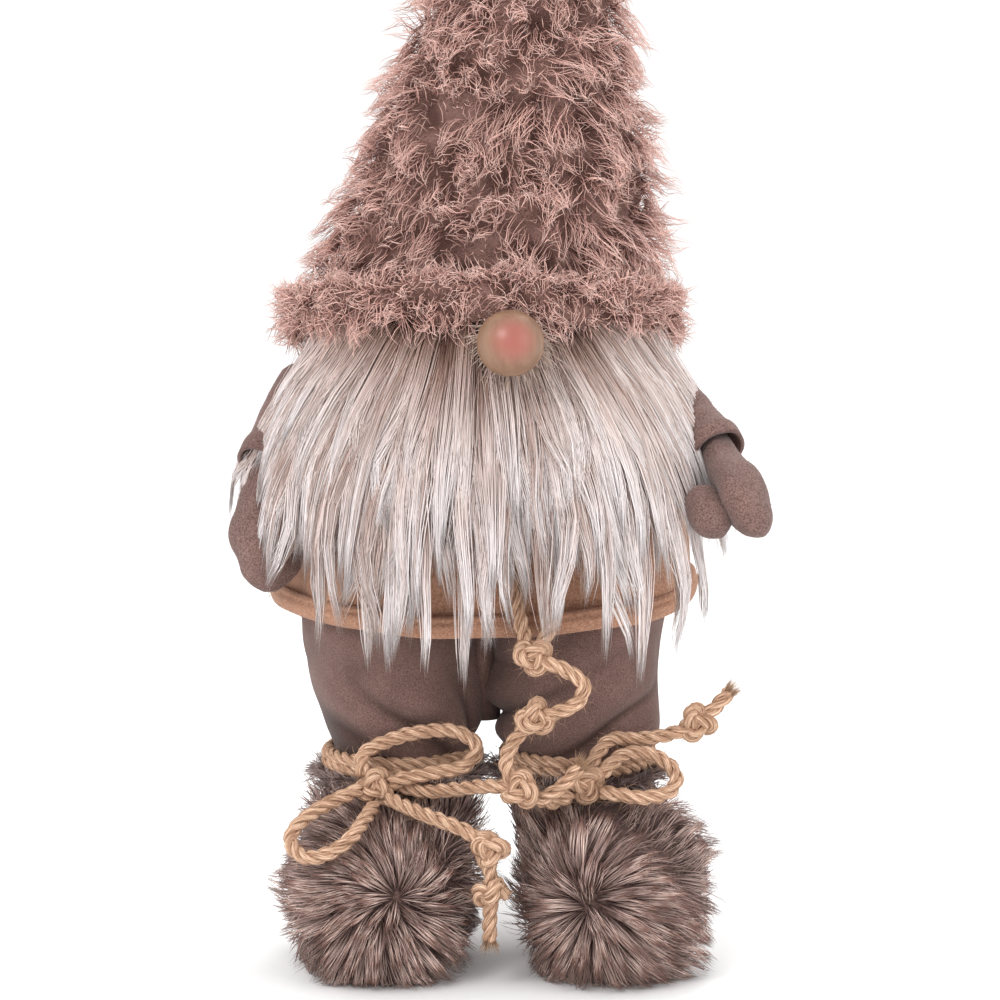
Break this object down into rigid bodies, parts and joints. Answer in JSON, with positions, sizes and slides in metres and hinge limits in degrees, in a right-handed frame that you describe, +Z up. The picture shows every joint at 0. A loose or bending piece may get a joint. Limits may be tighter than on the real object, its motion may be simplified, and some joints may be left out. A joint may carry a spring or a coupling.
{
  "type": "standing tomte gnome figure",
  "caption": "Standing soft gnome with a tall curly-wool hat, long beard, wooden nose, felt tunic and trousers, mittened arms, round fur boots and knotted jute ropes.",
  "frame": {"origin": "on the floor, under the middle of the figure's width and depth", "axes": "+Z up, the face looks along -Y, +X to the right of somebody facing it"},
  "size_m": [0.2675, 0.2153, 0.608],
  "materials": {
    "sole_board": "matt fibre board",
    "pellet_bag": "plastic pellets in a cloth bag",
    "wadding": "loose white polyester wadding",
    "boot_fur": "long-pile fake fur, grey-brown with dark tips",
    "bare_wood": "bare turned wood",
    "nose_wood": "sanded wood with a thin satin varnish and a pink blush",
    "brown_felt": "brushed felt, mottled brown",
    "tan_felt": "thick fuzzy wool felt, camel",
    "hat_lining": "plain woven lining",
    "hat_wool": "curly lamb-like wool pile, mauve-brown",
    "backing_cloth": "knitted backing cloth",
    "beard_fur": "long silky fake fur, cream with brown roots",
    "thread": "strong sewing thread",
    "wire": "soft galvanised wire",
    "jute": "three-strand jute rope, hairy"
  },
  "bodies": {
    "figure": {"left_sole": "sole_board", "right_sole": "sole_board", "left_boot_weight": "pellet_bag", "right_boot_weight": "pellet_bag", "left_boot_stuffing": "wadding", "right_boot_stuffing": "wadding", "left_boot_fur": "boot_fur", "right_boot_fur": "boot_fur", "left_boot_cuff": "boot_fur", "right_boot_cuff": "boot_fur", "left_leg_rod": "bare_wood", "right_leg_rod": "bare_wood", "left_leg_stuffing": "wadding", "right_leg_stuffing": "wadding", "left_trouser_leg": "brown_felt", "right_trouser_leg": "brown_felt", "trouser_seat": "brown_felt", "body_board": "bare_wood", "torso_stuffing": "wadding", "tunic": "tan_felt", "tunic_hem": "tan_felt", "hat_stuffing": "wadding", "hat_lining": "hat_lining", "hat_wool": "hat_wool", "hat_brim": "hat_wool", "nose": "nose_wood", "nose_dowel": "bare_wood", "beard_stitching": "thread", "left_shoulder_stitching": "thread", "right_shoulder_stitching": "thread", "left_ankle_wrap": "jute", "right_ankle_wrap": "jute", "bow_knots": "jute", "front_knots": "jute", "tail_knots": "jute", "front_rope": "jute", "front_strand": "jute", "left_upper_loop": "jute", "left_lower_loop": "jute", "left_tail": "jute", "right_loop": "jute", "right_tail": "jute", "ankle_tie": "jute"},
    "left_arm": {"left_arm_wire": "wire", "left_sleeve_stuffing": "wadding", "left_sleeve": "brown_felt"},
    "right_arm": {"right_arm_wire": "wire", "right_sleeve_stuffing": "wadding", "right_sleeve": "brown_felt"},
    "left_hand": {"left_hand_wire": "wire", "left_mitten_stuffing": "wadding", "left_mitten": "brown_felt", "left_thumb": "brown_felt"},
    "right_hand": {"right_hand_wire": "wire", "right_mitten_stuffing": "wadding", "right_mitten": "brown_felt", "right_thumb": "brown_felt"},
    "beard": {"beard_backing": "backing_cloth", "beard_fur": "beard_fur"}
  },
  "joints": [
    {"name": "left_shoulder", "type": "hinge", "parent": "figure", "child": "left_arm", "pos_m": [-0.10298, 0.012, 0.287], "axis": [0, 1, 0], "range_deg": [0, 70]},
    {"name": "right_shoulder", "type": "hinge", "parent": "figure", "child": "right_arm", "pos_m": [0.08298, 0.012, 0.287], "axis": [0, -1, 0], "range_deg": [-8, 60]},
    {"name": "left_wrist", "type": "hinge", "parent": "left_arm", "child": "left_hand", "pos_m": [-0.11698, -0.02, 0.247], "axis": [0, 1, 0], "range_deg": [0, 25]},
    {"name": "right_wrist", "type": "hinge", "parent": "right_arm", "child": "right_hand", "pos_m": [0.10598, -0.028, 0.254], "axis": [0, -1, 0], "range_deg": [-20, 25]},
    {"name": "beard_lift", "type": "hinge", "parent": "figure", "child": "beard", "pos_m": [-0.01, -0.051, 0.305], "axis": [-1, 0, 0], "range_deg": [0, 30]}
  ]
}
